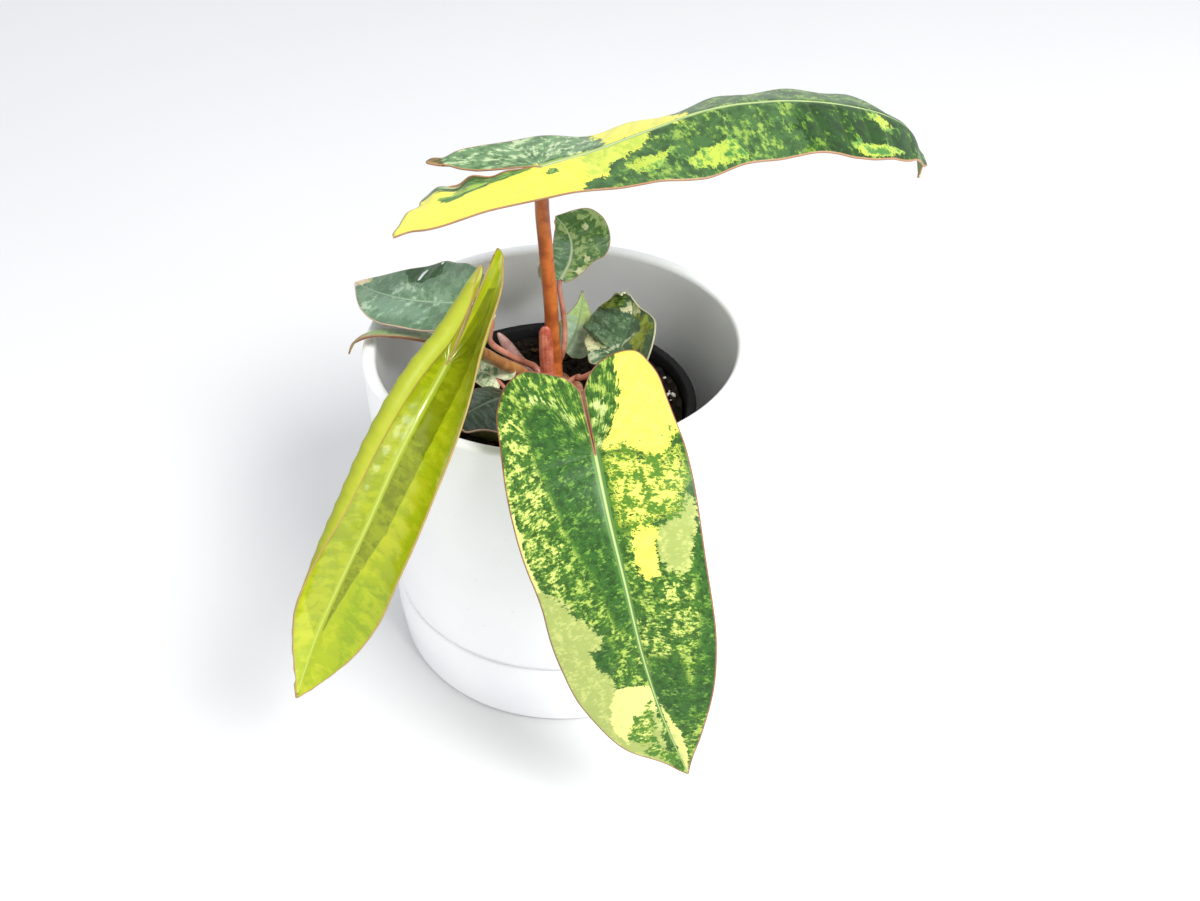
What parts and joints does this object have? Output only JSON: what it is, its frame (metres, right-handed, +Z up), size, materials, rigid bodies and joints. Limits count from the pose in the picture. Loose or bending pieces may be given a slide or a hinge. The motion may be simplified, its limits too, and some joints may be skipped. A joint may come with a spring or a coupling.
{
  "type": "potted philodendron",
  "caption": "Variegated trailing house plant with long heart-based leaves, in a nursery pot inside a straight white ceramic cover pot on its saucer.",
  "frame": {"origin": "centre of the saucer's flat underside, on the cover pot's axis", "axes": "+Z up along the cover pot's axis; -Y towards the viewer, where the front leaf hangs over the rim; +X to the viewer's right, where the top leaf points"},
  "size_m": [0.2036, 0.183, 0.1942],
  "materials": {
    "pot_glaze": "smooth satin white glaze",
    "nursery_pot": "thin moulded black plastic",
    "potting_mix": "damp dark bark and peat with pale grit",
    "stem": "young brown stem",
    "sheath": "soft pink sheath",
    "green_blade": "waxy leaf, mottled green, cream and yellow",
    "lime_blade": "glossy young leaf",
    "brown_petiole": "smooth orange-brown leaf stalk",
    "pink_petiole": "smooth pink leaf stalk"
  },
  "bodies": {
    "root": {"saucer": "pot_glaze", "cover_pot": "pot_glaze", "nursery_pot": "nursery_pot", "potting_mix": "potting_mix", "stem": "stem", "growing_sheath": "sheath", "dry_sheath": "sheath", "top_leaf_blade": "green_blade", "front_leaf_blade": "green_blade", "left_leaf_blade": "lime_blade", "left_back_leaf_blade": "green_blade", "narrow_leaf_blade": "green_blade", "back_leaf_blade": "green_blade", "pointed_leaf_blade": "green_blade", "curled_leaf_blade": "green_blade", "small_leaf_blade": "green_blade", "low_leaf_blade": "green_blade", "top_leaf_petiole": "brown_petiole", "front_leaf_petiole": "brown_petiole", "left_leaf_petiole": "brown_petiole", "left_back_leaf_petiole": "pink_petiole", "narrow_leaf_petiole": "pink_petiole", "back_leaf_petiole": "pink_petiole", "pointed_leaf_petiole": "pink_petiole", "curled_leaf_petiole": "pink_petiole", "small_leaf_petiole": "pink_petiole", "low_leaf_petiole": "pink_petiole"}
  },
  "joints": []
}
